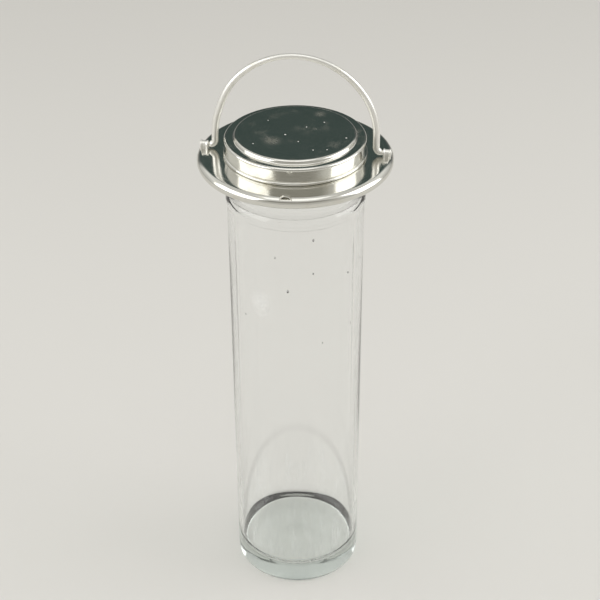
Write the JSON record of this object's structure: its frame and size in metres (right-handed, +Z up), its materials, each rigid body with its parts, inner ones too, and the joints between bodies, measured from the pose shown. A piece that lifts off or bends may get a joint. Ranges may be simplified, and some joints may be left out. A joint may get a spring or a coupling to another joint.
{
  "type": "specimen jar",
  "caption": "Tall clear glass cylinder jar with a thick floor, a plated collar with a flat brim, a swinging wire bail and a lift-off raised-panel lid.",
  "frame": {"origin": "centre of the glass foot, on the surface it stands on", "axes": "+Z up along the jar, X along the axis of the bail, -Y towards the front, where the brim has its hood"},
  "size_m": [0.107, 0.107, 0.3408],
  "materials": {
    "clear_glass": "clear, with seeds, draw lines and a hazy foot",
    "plated_metal": "polished plate with fine scratches and light tarnish",
    "plaster_cement": "matt",
    "seal_rubber": "matt"
  },
  "bodies": {
    "jar": {"glass_jar": "clear_glass", "cement_ring": "plaster_cement", "collar": "plated_metal", "left_lug": "plated_metal", "right_lug": "plated_metal", "sealing_ring": "seal_rubber"},
    "bail": {"bail_handle": "plated_metal"},
    "lid": {"lid_shell": "plated_metal", "lid_sleeve": "plated_metal"}
  },
  "joints": [
    {"name": "bail_swing", "type": "hinge", "parent": "jar", "child": "bail", "pos_m": [0, 0, 0.28545], "axis": [1, 0, 0], "range_deg": [-90, 88]},
    {"name": "lid_lift", "type": "slide", "parent": "jar", "child": "lid", "axis": [0, 0, 1], "range_m": [0, 0.015]}
  ]
}
